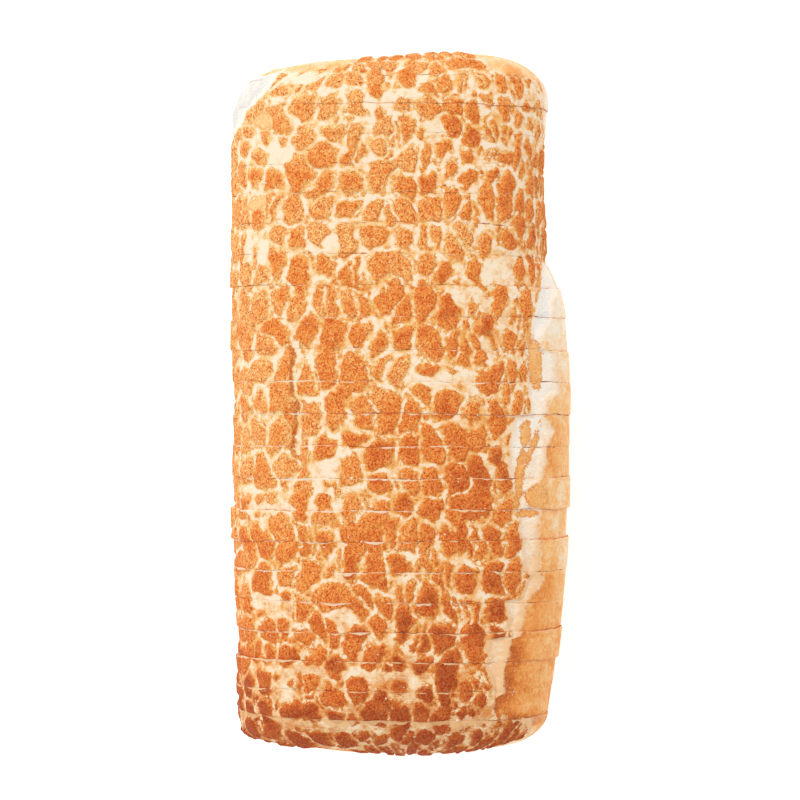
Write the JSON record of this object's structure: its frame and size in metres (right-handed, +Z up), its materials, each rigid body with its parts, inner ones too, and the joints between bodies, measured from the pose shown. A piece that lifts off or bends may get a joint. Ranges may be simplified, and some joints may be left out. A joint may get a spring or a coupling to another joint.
{
  "type": "sliced tiger bread loaf",
  "caption": "Long tin loaf with a domed, crackled rice-paste crust, cut into slices that still stand together as the whole loaf.",
  "frame": {"origin": "centre of the loaf's footprint, on the surface it stands on", "axes": "+Y along the loaf to the heel that is at the top of the picture, +X to the loaf's right seen from above, +Z up to the crown"},
  "size_m": [0.1231, 0.25, 0.1173],
  "materials": {
    "crust": "dry baked tiger crust over white crumb"
  },
  "bodies": {
    "root": {"heel_far": "crust", "slice_01": "crust", "slice_02": "crust", "slice_03": "crust", "slice_04": "crust", "slice_05": "crust", "slice_06": "crust", "slice_07": "crust", "slice_08": "crust", "slice_09": "crust", "slice_10": "crust", "slice_11": "crust", "slice_12": "crust", "slice_13": "crust", "slice_14": "crust", "slice_15": "crust", "slice_16": "crust", "slice_17": "crust", "slice_18": "crust", "slice_19": "crust", "slice_20": "crust", "slice_21": "crust", "heel_near": "crust"}
  },
  "joints": []
}
